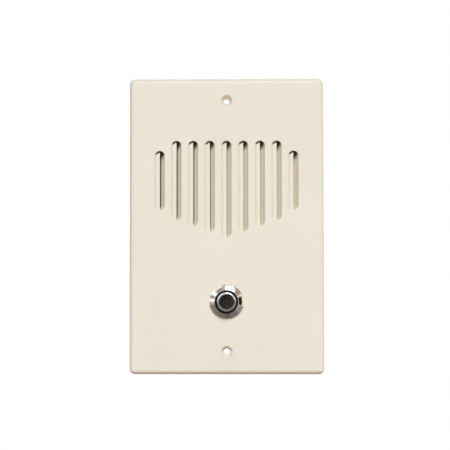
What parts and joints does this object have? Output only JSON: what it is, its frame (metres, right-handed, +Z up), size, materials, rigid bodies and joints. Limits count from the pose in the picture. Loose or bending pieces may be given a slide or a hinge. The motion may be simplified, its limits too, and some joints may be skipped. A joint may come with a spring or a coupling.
{
  "type": "wall intercom station",
  "caption": "Flush wall intercom station: moulded plate with louvred speaker slots, a loudspeaker, a chrome call button and a wiring terminal strip.",
  "frame": {"origin": "on the wall plane, midway between the two mounting screw holes", "axes": "+Z up the plate, -Y out of the wall through the front, +X to the right seen from the front"},
  "size_m": [0.0886, 0.0373, 0.135],
  "materials": {
    "almond_plastic": "satin moulded ABS, almond",
    "black_screen": "matt woven screen",
    "foam": "closed-cell foam",
    "plated_steel": "bright zinc plate",
    "rubber": "matt",
    "paper": "pressed paper, dark grey",
    "coil_former": "kraft paper",
    "copper": "bare copper",
    "spider_cloth": "resin-dipped cloth, amber",
    "ferrite": "ground ferrite, dark grey",
    "phenolic": "brown paper phenolic",
    "brass": "bright brass",
    "chrome": "polished chrome",
    "black_nylon": "blue-black nylon",
    "black_plastic": "fine-textured black",
    "spring_steel": "drawn steel wire",
    "black_bakelite": "black phenolic moulding",
    "red_insulation": "PVC insulation, red",
    "black_insulation": "PVC insulation, black",
    "white_insulation": "PVC insulation, white"
  },
  "bodies": {
    "station": {"faceplate": "almond_plastic", "dust_screen": "black_screen", "speaker_gasket": "foam", "speaker_basket": "plated_steel", "cone_surround": "rubber", "spider": "spider_cloth", "magnet_top_plate": "plated_steel", "ferrite_magnet": "ferrite", "magnet_yoke": "plated_steel", "speaker_clamps": "plated_steel", "clamp_screws": "plated_steel", "lug_board": "phenolic", "lug_board_rivet": "brass", "speaker_lugs": "brass", "button_bezel": "chrome", "guide_sleeve": "black_nylon", "switch_base": "phenolic", "left_contact": "brass", "right_contact": "brass", "lock_washer": "plated_steel", "panel_nut": "plated_steel", "return_spring": "spring_steel", "terminal_strip": "black_bakelite", "terminal_plates": "brass", "terminal_screws": "plated_steel", "strip_screws": "plated_steel", "left_tinsel_lead": "copper", "right_tinsel_lead": "copper", "left_speaker_lead": "red_insulation", "right_speaker_lead": "black_insulation", "right_button_lead": "white_insulation", "left_button_lead": "white_insulation"},
    "button": {"button_ring": "chrome", "button_insert": "black_plastic", "contact_bridge": "brass"},
    "cone": {"speaker_cone": "paper", "dust_cap": "paper", "voice_coil_former": "coil_former", "voice_coil_winding": "copper"}
  },
  "joints": [
    {"name": "button_press", "type": "slide", "parent": "station", "child": "button", "axis": [0, 1, 0], "range_m": [0, 0.0015], "stiffness_N_per_m": 600, "springref_m": -0.002, "deforming": ["return_spring"]},
    {"name": "cone_travel", "type": "slide", "parent": "station", "child": "cone", "axis": [0, 1, 0], "range_m": [-0.0005, 0.0005], "stiffness_N_per_m": 1500, "deforming": ["cone_surround", "spider", "left_tinsel_lead", "right_tinsel_lead"]}
  ]
}
